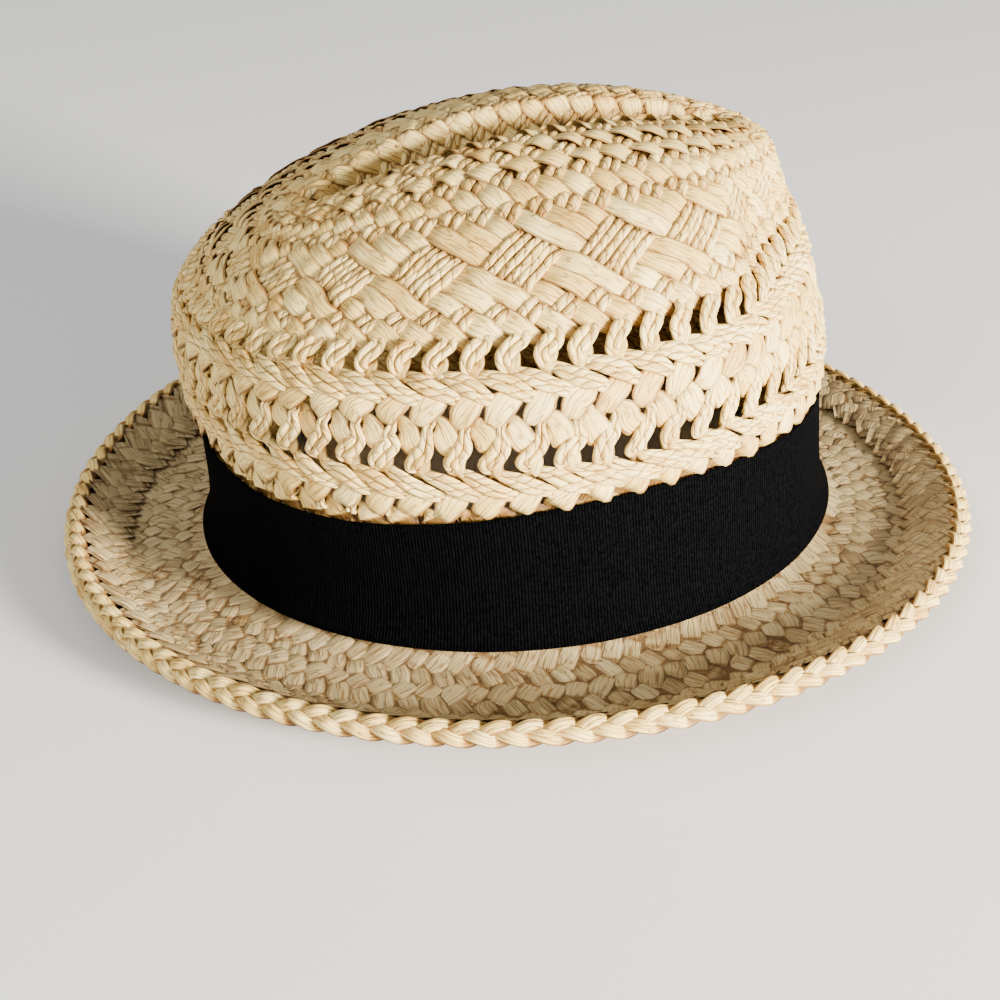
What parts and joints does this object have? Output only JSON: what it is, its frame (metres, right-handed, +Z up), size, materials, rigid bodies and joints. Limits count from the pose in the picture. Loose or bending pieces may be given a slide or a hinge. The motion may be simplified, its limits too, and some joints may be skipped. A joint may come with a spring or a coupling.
{
  "type": "straw fedora",
  "caption": "Woven straw fedora with a pinched, creased crown, openwork rows above a plain ribbon band, and a turned-up brim with a braided edge.",
  "frame": {"origin": "centre of the hat's plan box, on the plane that the brim rests on", "axes": "+Z up through the crown; the front with its two pinches faces -Y and the wearer's left is +X"},
  "size_m": [0.29, 0.294, 0.1346],
  "materials": {
    "crown_straw": "natural, semi-matte twisted cords and flat ribbons of straw",
    "brim_straw": "natural, semi-matte flat plait",
    "edge_straw": "natural, semi-matte rolled braid",
    "ribbon": "matte ribbed black ribbon"
  },
  "bodies": {
    "root": {"crown": "crown_straw", "brim": "brim_straw", "brim_edge_braid": "edge_straw", "hat_band": "ribbon"}
  },
  "joints": []
}
